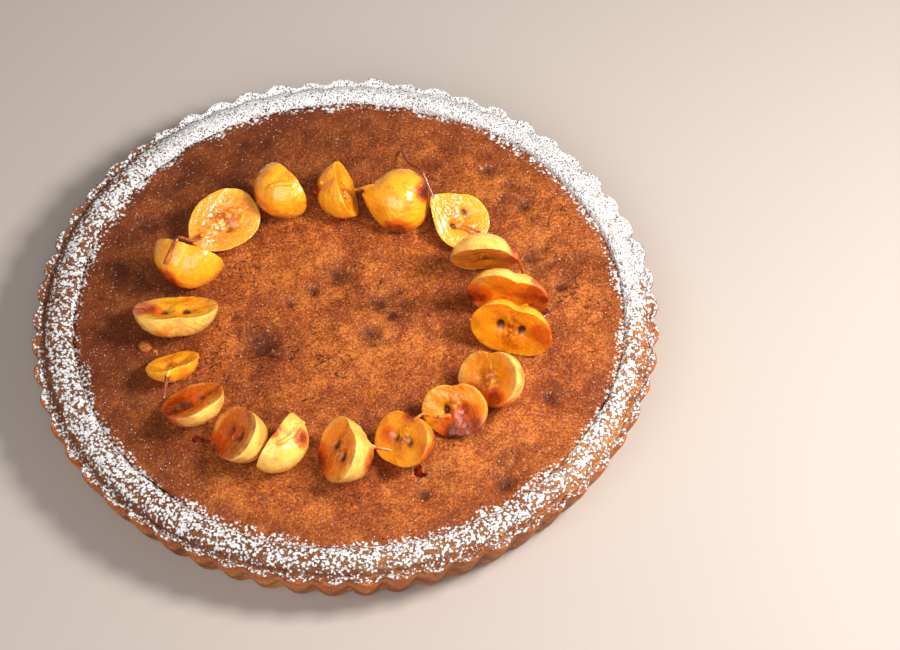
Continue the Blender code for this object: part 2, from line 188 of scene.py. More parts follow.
# %% Numbers that depend on the place
def ramp(values, low, high):
    """0 below low, 1 above high, and a soft step between them."""
    share = np.clip((values - low) / (high - low), 0, 1)
    return share * share * (3 - 2 * share)


def cloud(points, size):
    """A number between -1 and 1 at each point that changes slowly from place to place."""
    return np.array([noise.noise(Vector(point) / size) for point in points])


def bump(distance, width):
    return np.exp(-((distance / width) ** 2))


def reach_from(points, x=0.0, y=0.0):
    """How far each point lies from the upright line through one place."""
    return np.hypot(points[:, 0] - x, points[:, 1] - y)


def round_places(points, places, widen=1.0, bent=0.0):
    """1 in the middle of each round place, and less towards its border."""
    mask = np.zeros(len(points))
    for x, y, radius in places:
        mask = np.maximum(mask, bump(reach_from(points, x, y) + bent, widen * radius))
    return mask


# %% Finishing a piece
def faces_count(obj):
    return sum(len(polygon.vertices) - 2 for polygon in obj.data.polygons)


def finish_piece(obj, slot, material, *nodes):
    """Gives a piece its material, shades it smooth and lets it stand for its solids."""
    obj.data.materials.clear()
    obj.data.materials.append(material)
    select_only(obj)
    bpy.ops.object.shade_smooth()
    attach(obj, BODY)
    if nodes:
        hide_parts(*nodes)
    print(f"{obj.name}: {faces_count(obj)} triangles")


# %% [markdown]
# ## Light, floor and camera
#
# One soft light stands at the right, as a window would, so the flutes and the fruit throw soft
# shadows to the left. A larger one fills in from the front, and the world adds a little grey.
# The floor is plain and pale. The camera looks down steeply with a long lens.

# %% Camera, lights and colours of the stage
CAMERA_RISE = math.radians(54)
CAMERA_LENS = 0.135
SENSOR_WIDTH = 0.036
PICTURE_WIDTH, PICTURE_HEIGHT = 900, 650
TART_WIDTH_IN_PICTURE = 632
TART_MIDDLE_IN_PICTURE = (345, 313)
LIGHTS = (
    ("window", (0.46, -0.06, 0.50), 0.20, 6.6, (1.0, 0.95, 0.88)),
    ("fill", (-0.3, -0.8, 0.8), 0.9, 9.0, (1.0, 0.97, 0.94)),
)
WORLD_COLOUR, WORLD_STRENGTH = (1.0, 0.98, 0.96, 1), 0.22
TABLE_COLOUR, TABLE_ROUGHNESS, TABLE_SIZE = (0.44, 0.39, 0.36, 1), 0.9, 8


def place_camera():
    width = case_high.x - case_low.x
    scale = width / TART_WIDTH_IN_PICTURE
    distance = scale * PICTURE_WIDTH * CAMERA_LENS / SENSOR_WIDTH
    middle = Vector((0, 0, case_high.z))
    backwards = Vector((0, -math.cos(CAMERA_RISE), math.sin(CAMERA_RISE)))
    upwards = Vector((0, math.sin(CAMERA_RISE), math.cos(CAMERA_RISE)))
    beside = Vector((1, 0, 0)) * (PICTURE_WIDTH / 2 - TART_MIDDLE_IN_PICTURE[0]) * scale
    above = upwards * (TART_MIDDLE_IN_PICTURE[1] - PICTURE_HEIGHT / 2) * scale
    data = bpy.data.cameras.new("camera")
    data.lens = 1000 * CAMERA_LENS
    data.sensor_width = 1000 * SENSOR_WIDTH
    camera = bpy.data.objects.new("camera", data)
    bpy.context.scene.collection.objects.link(camera)
    camera.location = middle + beside + above + backwards * distance
    camera.rotation_euler = (math.pi / 2 - CAMERA_RISE, 0, 0)
    bpy.context.scene.camera = camera
    return distance


def area_light(name, place, size, power, colour):
    bpy.ops.object.light_add(type="AREA", location=place)
    light = bpy.context.object
    light.name = name
    light.data.size = size
    light.data.energy = power
    light.data.color = colour
    light.rotation_euler = (-Vector(place)).to_track_quat("-Z", "Y").to_euler()


# %% Place the camera and the lights
bpy.ops.object.select_all(action="DESELECT")
print("camera distance", round(place_camera(), 3))
for light in LIGHTS:
    area_light(*light)
world = bpy.data.worlds.new("soft_grey")
world.use_nodes = True
world.node_tree.nodes["Background"].inputs["Color"].default_value = WORLD_COLOUR
world.node_tree.nodes["Background"].inputs["Strength"].default_value = WORLD_STRENGTH
bpy.context.scene.world = world
bpy.context.scene.view_settings.view_transform = "Standard"

# %% Lay the floor
bpy.ops.mesh.primitive_plane_add(size=TABLE_SIZE, location=(0, 0, case_low.z))
floor = bpy.context.object
floor.name = "floor"
floor_material = bpy.data.materials.new("pale_table")
floor_material.use_nodes = True
floor_shader = floor_material.node_tree.nodes["Principled BSDF"]
floor_shader.inputs["Base Color"].default_value = TABLE_COLOUR
floor_shader.inputs["Roughness"].default_value = TABLE_ROUGHNESS
floor.data.materials.append(floor_material)

# %% [markdown]
# ## Tools for materials
#
# Each material is a small network of nodes. A helper adds a node, fills in its inputs and joins
# it to others, so that a material reads as a short recipe. Colours are written as they look on
# a screen and turned into the linear numbers that the shader works with.

# %% Node helpers
def srgb(red, green, blue):
    def linear(value):
        share = value / 255
        return share / 12.92 if share <= 0.04045 else ((share + 0.055) / 1.055) ** 2.4

    return (linear(red), linear(green), linear(blue), 1.0)


MIX_FACTOR, MIX_A, MIX_B, MIX_RESULT = 0, 6, 7, 2


class Recipe:
    """The nodes of one material or group; a value is a number, a colour or a node's output."""

    def __init__(self, tree):
        self.tree = tree

    def fill(self, socket, value):
        if isinstance(value, bpy.types.NodeSocket):
            self.tree.links.new(value, socket)
        else:
            socket.default_value = value

    def fill_all(self, node, **values):
        """Fills a node's inputs by name, with _ for a blank."""
        for name, value in values.items():
            self.fill(node.inputs[name.replace("_", " ")], value)

    def add(self, kind, inputs, **settings):
        node = self.tree.nodes.new(kind)
        for name, value in settings.items():
            setattr(node, name, value)
        for name, value in inputs.items():
            self.fill(node.inputs[name], value)
        return node

    def group(self, tree, **inputs):
        """What a shader group gives out for these inputs."""
        return self.add("ShaderNodeGroup", inputs, node_tree=tree).outputs

    def place(self):
        return self.add("ShaderNodeTexCoord", {}).outputs["Object"]

    def attribute(self, name):
        return self.add("ShaderNodeAttribute", {}, attribute_name=name).outputs["Fac"]

    def speckle(self, place, size, detail=2.0, rough=0.5, shift=0.0):
        """Noise whose lumps are about size across."""
        inputs = {"Vector": place, "Scale": 1 / size, "Detail": detail, "Roughness": rough, "W": shift}
        return self.add("ShaderNodeTexNoise", inputs, noise_dimensions="4D").outputs["Fac"]

    def step(self, value, low, high, start=0.0, end=1.0):
        inputs = {"Value": value, "From Min": low, "From Max": high, "To Min": start, "To Max": end}
        return self.add("ShaderNodeMapRange", inputs, interpolation_type="SMOOTHSTEP").outputs[0]

    def sum(self, *values):
        total = values[0]
        for value in values[1:]:
            total = self.calc("ADD", total, value)
        return total

    def times(self, *values):
        total = values[0]
        for value in values[1:]:
            total = self.calc("MULTIPLY", total, value)
        return total

    def calc(self, operation, a, b):
        node = self.add("ShaderNodeMath", {}, operation=operation)
        self.fill(node.inputs[0], a)
        self.fill(node.inputs[1], b)
        return node.outputs[0]

    def blend(self, factor, a, b):
        node = self.add("ShaderNodeMix", {}, data_type="RGBA")
        self.fill(node.inputs[MIX_FACTOR], factor)
        self.fill(node.inputs[MIX_A], a)
        self.fill(node.inputs[MIX_B], b)
        return node.outputs[MIX_RESULT]

    def relief(self, height, depth, strength):
        inputs = {"Height": height, "Distance": depth, "Strength": strength}
        return self.add("ShaderNodeBump", inputs).outputs["Normal"]


# %% Start a material or a shader group
NUMBER, COLOUR, VECTOR = "NodeSocketFloat", "NodeSocketColor", "NodeSocketVector"


def start_material(name, **constants):
    """A new material; the constants are set on the shader's own sockets."""
    material = bpy.data.materials.new(name)
    material.use_nodes = True
    shader = material.node_tree.nodes["Principled BSDF"]
    recipe = Recipe(material.node_tree)
    recipe.fill_all(shader, **constants)
    return material, recipe, shader


def start_group(name, inputs, outputs):
    """An empty shader group with named sockets, and the nodes that stand for its two ends."""
    tree = bpy.data.node_groups.new(name, "ShaderNodeTree")
    for side, sockets in (("INPUT", inputs), ("OUTPUT", outputs)):
        for socket, kind in sockets.items():
            tree.interface.new_socket(socket, in_out=side, socket_type=kind)
    recipe = Recipe(tree)
    return tree, recipe, recipe.add("NodeGroupInput", {}).outputs, recipe.add("NodeGroupOutput", {})


# %% [markdown]
# ## Baked crumb
#
# Pastry and filling share one thing: oven heat leaves a fine-grained surface with paler and
# darker patches. A shader group makes that grain once, and each material uses it with its own
# colours and grain size. It gives out a colour and a height for the relief.

# %% The baked crumb group
def baked_crumb_group():
    inputs = {"Place": VECTOR, "Pale": COLOUR, "Middle": COLOUR, "Dark": COLOUR, "Grain": NUMBER}
    outputs = {"Color": COLOUR, "Height": NUMBER, "Patches": NUMBER}
    tree, recipe, given, out = start_group("baked_crumb", inputs, outputs)
    patches = recipe.speckle(given["Place"], 0.030, detail=3.0, rough=0.6)
    mottle = recipe.speckle(given["Place"], 0.0060, detail=3.0, rough=0.6, shift=2.0)
    settings = {"Vector": given["Place"], "Detail": 3.0, "Roughness": 0.7}
    grain_node = recipe.add("ShaderNodeTexNoise", settings)
    recipe.fill(grain_node.inputs["Scale"], recipe.calc("DIVIDE", 1.0, given["Grain"]))
    grain = grain_node.outputs["Fac"]
    tone = recipe.sum(recipe.times(patches, 0.42), recipe.times(mottle, 0.30), recipe.times(grain, 0.60))
    pale = recipe.blend(recipe.step(tone, 0.66, 0.79), given["Middle"], given["Pale"])
    whole = recipe.blend(recipe.step(tone, 0.66, 0.57), pale, given["Dark"])
    recipe.fill_all(out, Color=whole, Height=grain, Patches=patches)
    return tree


BAKED_CRUMB = baked_crumb_group()
print("baked crumb:", len(BAKED_CRUMB.nodes), "nodes")

# %% [markdown]
# ## Icing sugar
#
# Sifted icing sugar lies in clots of three sizes with bare specks between them. Rim and filling
# share this group too. It takes the share of the surface that sugar should hide, and gives out
# where it does, its colour and its height. Three noises and a pattern of dots added together
# make the clots; a single noise looks like torn paper.

# %% The icing sugar group
SUGAR_WHITE = (0.78, 0.80, 0.83, 1)
SUGAR_SHADE = (0.46, 0.42, 0.40, 1)
BARE_LEVEL = 0.576  # sugar lies where the clots rise above this level,
COVER_SLOPE = 0.155  # which falls as the amount grows
COARSE_CLOTS, FINE_CLOTS, DUST, DOTS = 0.0024, 0.0010, 0.0005, 0.0014


def icing_sugar_group():
    inputs = {"Place": VECTOR, "Amount": NUMBER}
    outputs = {"Cover": NUMBER, "Color": COLOUR, "Height": NUMBER}
    tree, recipe, given, out = start_group("icing_sugar", inputs, outputs)
    place, amount = given["Place"], given["Amount"]
    coarse = recipe.speckle(place, COARSE_CLOTS, detail=1.0, rough=0.5, shift=5.0)
    fine = recipe.speckle(place, FINE_CLOTS, detail=1.0, rough=0.5, shift=9.0)
    dust = recipe.speckle(place, DUST, detail=1.0, rough=0.5, shift=13.0)
    dots = recipe.add("ShaderNodeTexVoronoi", {"Vector": place, "Scale": 1 / DOTS}).outputs["Distance"]
    clots = recipe.sum(recipe.times(coarse, 0.28), recipe.times(fine, 0.30), recipe.times(dust, 0.14))
    clots = recipe.sum(clots, 0.28, recipe.times(dots, -0.28))
    specks = recipe.sum(recipe.times(coarse, 0.12), recipe.times(fine, 0.44), recipe.times(dust, 0.44))
    thick = recipe.step(amount, 0.70, 0.90)
    mixed = recipe.sum(recipe.times(clots, recipe.calc("SUBTRACT", 1.0, thick)), recipe.times(specks, thick))
    level = recipe.calc("SUBTRACT", BARE_LEVEL, recipe.times(amount, COVER_SLOPE))
    above = recipe.calc("SUBTRACT", mixed, level)
    cover = recipe.times(recipe.step(above, -0.020, 0.020), recipe.step(amount, 0.02, 0.15))
    colour = recipe.blend(recipe.step(above, 0.0, 0.08), SUGAR_SHADE, SUGAR_WHITE)
    height = recipe.times(cover, recipe.sum(0.8, fine, dust))
    recipe.fill_all(out, Cover=cover, Color=colour, Height=height)
    return tree


ICING_SUGAR = icing_sugar_group()
print("icing sugar:", len(ICING_SUGAR.nodes), "nodes")

# %% [markdown]
# ## The pastry case
#
# The case is shortcrust pastry: thin fluted walls, a rim folded into a soft band, and a dusting
# of icing sugar that lies thick at the back and thins out at the left, the front and the right.
# The solid gets finer faces, the band more than the walls, and three sizes of bumps. How much
# sugar lies at each point is painted on the mesh, because it depends on the place; the single
# specks are left to the material, which can draw them far finer.

# %% Refine the case
CASE_LEVELS = 2
BAND_BOTTOM = 0.0165
BAND_INSIDE = 0.004  # how far inside the filling's edge the finer faces start


def refine_case():
    case = merged_copy("crust", "fluted_case")
    join_into_quads(case, 60, 70)
    subdivide_smooth(case, CASE_LEVELS)
    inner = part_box("filling")[1].x
    for polygon in case.data.polygons:
        centre = polygon.center
        polygon.select = centre.z > BAND_BOTTOM and math.hypot(centre.x, centre.y) > inner - BAND_INSIDE
    with editing(case):
        bpy.ops.mesh.select_mode(type="FACE")
        bpy.ops.mesh.subdivide(number_cuts=1, smoothness=0.0)
    return case


case = refine_case()
print("case:", faces_count(case), "triangles")

# %% [markdown]
# Sugar that is sifted over a rim lies on what faces up. It stays off the walls, the edges of the
# flutes and the groove inside them, and one side of the tart got more than the other. A texture
# painted by hand could say so too, but the place and slope of each point already hold it, so the
# share of cover is worked out from them and stored with the mesh.

# %% Paint where the sugar lies
BACK_RIGHT = math.radians(68)
GROOVE_RADIUS = 0.1241
GROOVE_WIDTH = 0.0012
LOBE_RADIUS = 0.1290
THIN_SIDES = (
    (math.radians(175), 0.60, 0.27),
    (math.radians(-48), 0.34, 0.20),
    (math.radians(-105), 0.50, 0.20),
    (math.radians(-5), 0.32, 0.13),
)
CASE_BUMPS = ((0.0100, 0.0009, "all_over"), (0.0040, 0.0008, "band"), (0.0016, 0.0008, "band"))


def sugar_cover(points, normals):
    """The share of the surface that sugar hides, by the side of the tart and the slope."""
    angle = np.arctan2(points[:, 1], points[:, 0])
    reach = reach_from(points)
    inner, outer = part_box("filling")[1].x - 0.002, case_high.x - 0.004
    outwards = np.clip((reach - inner) / (outer - inner), 0, 1)
    thick = ramp(np.cos(angle - BACK_RIGHT), 0.15, 0.75)
    cover = 0.82 + 0.22 * thick
    for middle, spread, less in THIN_SIDES:
        away = np.abs(np.arctan2(np.sin(angle - middle), np.cos(angle - middle)))
        cover -= less * bump(away, spread)
    cover += 0.10 * cloud(points, 0.014) + 0.22 * (1 - thick) * (0.35 - outwards)
    # Less sugar in the groove, most where the sugar is thin, so that the painted shade of the groove shows.
    cover -= 0.40 * (1 - 0.7 * thick) * bump(reach - GROOVE_RADIUS, GROOVE_WIDTH)
    cover -= 0.60 * (1 - 0.60 * thick) * ramp(reach, LOBE_RADIUS - 0.0012, LOBE_RADIUS + 0.0010)
    over_edge = ramp(-reach_from(points, *FILLING_CENTRE), -inner - 0.0045, -inner - 0.0030)
    lies = np.maximum(ramp(normals[:, 2], 0.05, 0.65), over_edge)
    return cover * lies * ramp(points[:, 2], BAND_BOTTOM, 0.0190)


points, normals = points_of(case), normals_of(case)
reach = reach_from(points)
band = ramp(points[:, 2], 0.015, 0.019) * ramp(normals[:, 2], -0.3, 0.2)
weigh(case, "band", band)
weigh(case, "all_over", ramp(points[:, 2], 0.0005, 0.003))
for size, height, group in CASE_BUMPS:
    roughen(case, size, height, group)
sugar = sugar_cover(points, normals)
paint(case, "sugar", sugar)
# Painted shade: the band's pastry is darkened a little everywhere and most on the left side, away from the
# light.
shaded_side = 0.4 + 0.6 * ramp(-points[:, 0] / reach, -0.9, 0.2)
paint(case, "band_shade", shaded_side * band * ramp(-reach, -LOBE_RADIUS, -LOBE_RADIUS + 0.002))
paint(case, "browned", ramp(reach, 0.1235, 0.1280) * ramp(points[:, 2], 0.010, 0.021))
# Painted shade on the steep walls of the groove.
paint(case, "groove_shade", bump(reach - GROOVE_RADIUS, GROOVE_WIDTH) * ramp(-normals[:, 2], -0.9, -0.4))
print("mean sugar on the band", round(float(sugar[sugar > 0].mean()), 2))

# %% [markdown]
# Baked shortcrust is pale where it was thick and browner on its thin edges. The material mixes
# the crumb's colours with that browning first, then darkens the band and the groove with painted
# shade, the band most on the left, away from the light, and lays the sugar over it last, as the
# baker did.

# %% Pastry under icing sugar
PASTRY_COLOURS = {"Pale": srgb(232, 168, 96), "Middle": srgb(186, 108, 52), "Dark": srgb(142, 74, 34)}
PASTRY_SHADED = srgb(96, 48, 24)
PASTRY_BROWNED = srgb(178, 88, 28)
PASTRY_GROOVE_SHADE = srgb(84, 40, 18)


def pastry_material():
    material, recipe, shader = start_material("sugared_pastry", Specular_IOR_Level=0.3)
    place = recipe.place()
    crumb = recipe.group(BAKED_CRUMB, Place=place, Grain=0.0012, **PASTRY_COLOURS)
    patchy = recipe.step(crumb["Patches"], 0.35, 0.6, 0.3, 0.9)
    browned = recipe.times(recipe.attribute("browned"), patchy)
    pastry = recipe.blend(browned, crumb["Color"], PASTRY_BROWNED)
    # Painted shade on the band, strongest on the left.
    pastry = recipe.blend(recipe.times(recipe.attribute("band_shade"), 0.80), pastry, PASTRY_SHADED)
    # Painted shade in the groove.
    pastry = recipe.blend(recipe.times(recipe.attribute("groove_shade"), 0.7), pastry, PASTRY_GROOVE_SHADE)
    sugar = recipe.group(ICING_SUGAR, Place=place, Amount=recipe.attribute("sugar"))
    colour = recipe.blend(sugar["Cover"], pastry, sugar["Color"])
    roughness = recipe.step(sugar["Cover"], 0, 1, 0.55, 0.85)
    relief = recipe.relief(recipe.sum(crumb["Height"], sugar["Height"]), 0.0008, 0.9)
    recipe.fill_all(shader, Base_Color=colour, Roughness=roughness, Normal=relief)
    return material


finish_piece(case, "pastry", pastry_material(), "crust")

# %% [markdown]
# ## The filling
#
# A chestnut filling bakes to a matte, fine-grained brown top that sinks a little here and there
# and cracks round the sunk spots. The solid has the swells and the spots already. Its copy gets
# finer faces and three sizes of small bumps.

# %% Where the filling sank and cracked
SUNK_SPOTS = (
    (-0.035, -0.013, 0.0085),
    (-0.004, 0.020, 0.0070),
    (0.018, 0.007, 0.0085),
    (0.011, -0.011, 0.0070),
    (0.068, 0.068, 0.0090),
    (0.080, 0.031, 0.0075),
    (0.094, 0.028, 0.0070),
    (0.036, -0.079, 0.0075),
    (0.069, -0.069, 0.0080),
    (-0.090, 0.018, 0.0080),
)
DENTS = (
    (-0.0034, 0.0219, 0.0044),
    (-0.0138, 0.0133, 0.0028),
    (-0.0225, 0.0068, 0.0020),
    (0.0139, 0.0068, 0.0040),
    (0.0105, -0.0083, 0.0036),
    (0.0190, 0.0010, 0.0026),
    (0.0744, 0.0585, 0.0034),
    (0.0593, 0.0772, 0.0036),
    (0.0773, 0.0305, 0.0030),
    (0.0894, 0.0155, 0.0026),
    (0.0653, -0.0817, 0.0036),
    (0.0834, -0.0406, 0.0030),
    (0.0330, -0.0870, 0.0030),
    (-0.0854, 0.0491, 0.0034),
    (-0.0330, -0.0146, 0.0050),
)
FILLING_LEVELS = 3
FILLING_BUMPS = ((0.0160, 0.0022), (0.0060, 0.0011), (0.0020, 0.00040))
HOLLOW_DEPTH = 0.0018
EDGE_SPREAD = 0.0021
DEEP_BAKED_AND_SHADED_SIDE = math.radians(155)
CRACKED_PLACES = (
    (-0.045, -0.018, 0.022),
    (-0.012, -0.022, 0.016),
    (0.006, 0.016, 0.014),
    (-0.040, 0.024, 0.014),
    (0.098, 0.010, 0.012),
    (0.090, 0.050, 0.012),
    (-0.020, -0.046, 0.012),
)

# %% Refine the filling
filling = merged_copy("filling", "baked_top")
join_into_quads(filling, 40, 60)
crease_sharp_edges(filling, 50, 1.0)
subdivide_smooth(filling, FILLING_LEVELS)
points, normals = points_of(filling), normals_of(filling)
top = ramp(normals[:, 2], 0.3, 0.8) * ramp(points[:, 2], 0.018, 0.0195)
weigh(filling, "top", top)
for size, height in FILLING_BUMPS:
    roughen(filling, size, height, "top")

# %% [markdown]
# Small dents and hollows are pressed into the finer faces, and the lip of the top is spread until
# it runs into the rough pastry, because a gap there would show as a dark line. Then each point is
# told how sunk and how far out it is, and how deeply baked it is together with the painted shade
# of the side away from the light, which the material reads.

# %% Press the dents, spread the lip and paint
points = points_of(filling)
hollows = 0.6 * round_places(points, SUNK_SPOTS, 1.25) * ramp(cloud(points, 0.0055), 0.02, 0.35)
dents = round_places(points, DENTS, bent=0.0012 * cloud(points, 0.0030))
hollows = top * np.maximum(hollows, dents)
points[:, 2] -= HOLLOW_DEPTH * hollows
reach = reach_from(points, *FILLING_CENTRE)
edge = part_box("filling")[1].x - FILLING_CENTRE[0]
at_edge = ramp(reach, edge - 0.0015, edge - 0.0005) * ramp(points[:, 2], 0.0195, 0.0208)
points[:, :2] *= 1 + EDGE_SPREAD * at_edge[:, None] / edge
move_points(filling, points)
reach = reach_from(points, *FILLING_CENTRE)
angle = np.arctan2(points[:, 1], points[:, 0])
paint(filling, "sunk_spots", round_places(points, SUNK_SPOTS, 1.15))
paint(filling, "hollows", hollows)
paint(filling, "near_rim", ramp(reach, edge - 0.014, edge - 0.001))
drift = 0.003 * cloud(points, 0.012)
dusted = 0.03 * ramp(reach, edge - 0.020, edge)
paint(filling, "dusted", dusted + 0.50 * ramp(reach + drift, edge - 0.0025, edge + 0.001))
# Deeper baking and painted shade together: the side away from the light is darker.
paint(filling, "deep_baked_and_shade", ramp(reach, 0.050, 0.100) * ramp(np.cos(angle - DEEP_BAKED_AND_SHADED_SIDE), -0.25, 0.75))
paint(filling, "cracked", round_places(points, CRACKED_PLACES))
print("filling:", faces_count(filling), "triangles")

# %% [markdown]
# The top of the filling is brown with a golden grain and darker towards the rim. It is darker
# towards one side from deeper baking and from painted shade on the side away from the light. The
# sunk spots and dents get nearly black painted shade, and the moist places beside them and fine
# specks get painted highlights. Cracks follow the borders of crumbly cells. Cut into the mesh they
# would need far finer faces, so the relief of the material draws them.

# %% Baked chestnut filling
FILLING_DARK = srgb(110, 46, 12)
FILLING_COLOURS = {"Pale": srgb(208, 120, 48), "Middle": srgb(152, 73, 24), "Dark": FILLING_DARK}
FILLING_DEEP = srgb(86, 34, 8)
FILLING_SUNK_SHADE = srgb(76, 30, 12)
CRACK_COLOUR = srgb(58, 24, 10)
MOIST_GLINT = srgb(240, 190, 150)


def filling_material():
    material, recipe, shader = start_material("baked_chestnut_filling", Specular_IOR_Level=0.25)
    place = recipe.place()
    crumb = recipe.group(BAKED_CRUMB, Place=place, Grain=0.0010, **FILLING_COLOURS)
    sunk = recipe.attribute("sunk_spots")
    uneven = recipe.speckle(place, 0.0050, detail=4.0, rough=0.7, shift=3.0)
    streaks = recipe.speckle(place, 0.0130, detail=4.0, rough=0.65, shift=11.0)
    # Deeper baking together with painted shade on the side away from the light.
    deep_and_shade = recipe.times(recipe.attribute("deep_baked_and_shade"), recipe.step(streaks, 0.34, 0.58, 1.0, 0.55))
    colour = recipe.blend(deep_and_shade, crumb["Color"], FILLING_DEEP)
    colour = recipe.blend(recipe.times(recipe.attribute("near_rim"), 0.40), colour, FILLING_DARK)
    colour = recipe.blend(recipe.step(uneven, 0.48, 0.34, 0.0, 0.35), colour, FILLING_DARK)
    # Painted shade in the sunk spots, nearly black.
    sunk_shade = recipe.times(sunk, recipe.step(uneven, 0.30, 0.60, 0.40, 0.20))
    colour = recipe.blend(sunk_shade, colour, FILLING_SUNK_SHADE)
    hollows = recipe.attribute("hollows")
    # Painted shade in the pressed hollows and dents.
    colour = recipe.blend(recipe.times(hollows, 0.95), colour, FILLING_SUNK_SHADE)
    bend = recipe.add("ShaderNodeTexNoise", {"Vector": place, "Scale": 220.0, "Detail": 3.0})
    bent = recipe.add("ShaderNodeVectorMath", {}, operation="MULTIPLY_ADD")
    for socket, value in zip(bent.inputs, (bend.outputs["Color"], (0.009, 0.009, 0.0), place)):
        recipe.fill(socket, value)
    spots = {"Vector": bent.outputs[0], "Scale": 150.0}
    cells = recipe.add("ShaderNodeTexVoronoi", spots, feature="DISTANCE_TO_EDGE")
    broken = recipe.step(recipe.speckle(place, 0.0060, detail=2.0, rough=0.5, shift=15.0), 0.50, 0.60)
    line = recipe.step(cells.outputs["Distance"], 0.045, 0.012)
    crack = recipe.times(line, broken, recipe.step(recipe.attribute("cracked"), 0.15, 0.6))
    pores = recipe.step(recipe.speckle(place, 0.0016, detail=1.0, rough=0.5, shift=21.0), 0.29, 0.23)
    holes = recipe.calc("MAXIMUM", crack, pores)
    colour = recipe.blend(recipe.times(holes, 0.85), colour, CRACK_COLOUR)
    # Painted highlights: fine bright specks that stand for glints.
    glint = recipe.step(recipe.speckle(place, 0.0008, detail=1.0, rough=0.5, shift=7.0), 0.66, 0.72)
    colour = recipe.blend(recipe.times(glint, 0.55), colour, MOIST_GLINT)
    # Painted highlights on the moist ring round each hollow; the same mask also makes it less rough.
    moist_glint_edge = recipe.times(recipe.step(hollows, 0.10, 0.30), recipe.step(hollows, 0.75, 0.45))
    moist_and_glint = recipe.times(moist_glint_edge, recipe.step(recipe.speckle(place, 0.0018, shift=31.0), 0.62, 0.70))
    colour = recipe.blend(recipe.times(moist_and_glint, 0.5), colour, MOIST_GLINT)
    sugar = recipe.group(ICING_SUGAR, Place=place, Amount=recipe.attribute("dusted"))
    colour = recipe.blend(sugar["Cover"], colour, sugar["Color"])
    dryness = recipe.step(crumb["Height"], 0.35, 0.65, 0.36, 0.62)
    roughness = recipe.sum(dryness, recipe.times(moist_and_glint, -0.25))
    grain_height = recipe.times(crumb["Height"], 1.2)
    height = recipe.sum(grain_height, recipe.times(holes, -0.9), recipe.times(uneven, 0.8))
    relief = recipe.relief(height, 0.0007, 0.9)
    recipe.fill_all(shader, Base_Color=colour, Roughness=roughness, Normal=relief)
    return material


finish_piece(filling, "filling", filling_material(), "filling")

# %% [markdown]
# ## Candied fruit
#
# Each fruit is a small one, cut in half and simmered in syrup, so that it is translucent and
# wet with caramel. The skin is pale yellow, the cut face deeper orange, with a core, two seed
# pits and sometimes ribs that run out from the stem. The solids hold the halves and stems with
# few faces. A copy is rounded, then remeshed so that its faces are small and even, and then
# each point is told where it lies: on the cut face or the skin, in the core, in a pit, on a stem.
#
# The cut face need not be written down again: it is the largest group of faces that look the
# same way, so it can be read off the mesh.

# %% Find the cut face
SAME_WAY = math.cos(math.radians(16))
HIGH_POINTS = 90  # the per cent of a face's points that lie below its level
BORDER_SHARE = 1.12  # the rounded border adds this much to the flat part


@dataclass
class CutFace:
    """A half's own directions: out of the cut face, towards the stem end and across."""

    centre: np.ndarray
    normal: np.ndarray
    axis: np.ndarray
    across: np.ndarray
    radius: float


def find_cut_face(obj, stem_turn):
    mesh = obj.data
    directions = np.array([polygon.normal for polygon in mesh.polygons], float)
    areas = np.array([polygon.area for polygon in mesh.polygons], float)
    centres = np.array([polygon.center for polygon in mesh.polygons], float)
    alike = directions @ directions.T > SAME_WAY
    group = alike[np.argmax(alike @ areas)]
    normal = (directions[group] * areas[group, None]).sum(0)
    normal /= np.linalg.norm(normal)
    centre = (centres[group] * areas[group, None]).sum(0) / areas[group].sum()
    used = sorted({index for i in np.flatnonzero(group) for index in mesh.polygons[i].vertices})
    heights = points_of(obj)[used] @ normal
    centre += normal * (np.percentile(heights, HIGH_POINTS) - centre @ normal)
    radius = math.sqrt(BORDER_SHARE * areas[group].sum() / math.pi)
    slope = np.array([0, 0, 1]) - normal[2] * normal
    slope /= np.linalg.norm(slope)
    outwards = np.cross(slope, normal)
    turn = math.radians(stem_turn)
    axis = outwards * math.cos(turn) + slope * math.sin(turn)
    return CutFace(centre, normal, axis, np.cross(normal, axis), radius)


# %% [markdown]
# The looks of the eighteen halves differ, so each gets a row: where its stem end is, its
# colours, how dark its pits are, how strongly its ribs show, and the stains where caramel has
# burnt on. A stain is a direction from the middle of the half, in radii, and a size.

# %% The eighteen looks
@dataclass
class Look:
    skin: tuple
    flesh: tuple
    core: tuple
    stem_turn: float = 90
    stem: tuple = (116, 48, 18)
    pits: float = 0.8
    core_size: float = 1.0
    ribs: float = 0.0
    rim: float = 0.3
    torn: float = 0.4
    stains: tuple = ()


YELLOW, CREAM, PALE = (255, 174, 36), (255, 202, 100), (255, 186, 64)
ORANGE, AMBER, GOLD = (255, 156, 20), (252, 130, 12), (255, 164, 22)
TAN, BROWN, DEEP = (214, 112, 28), (146, 56, 10), (92, 28, 6)

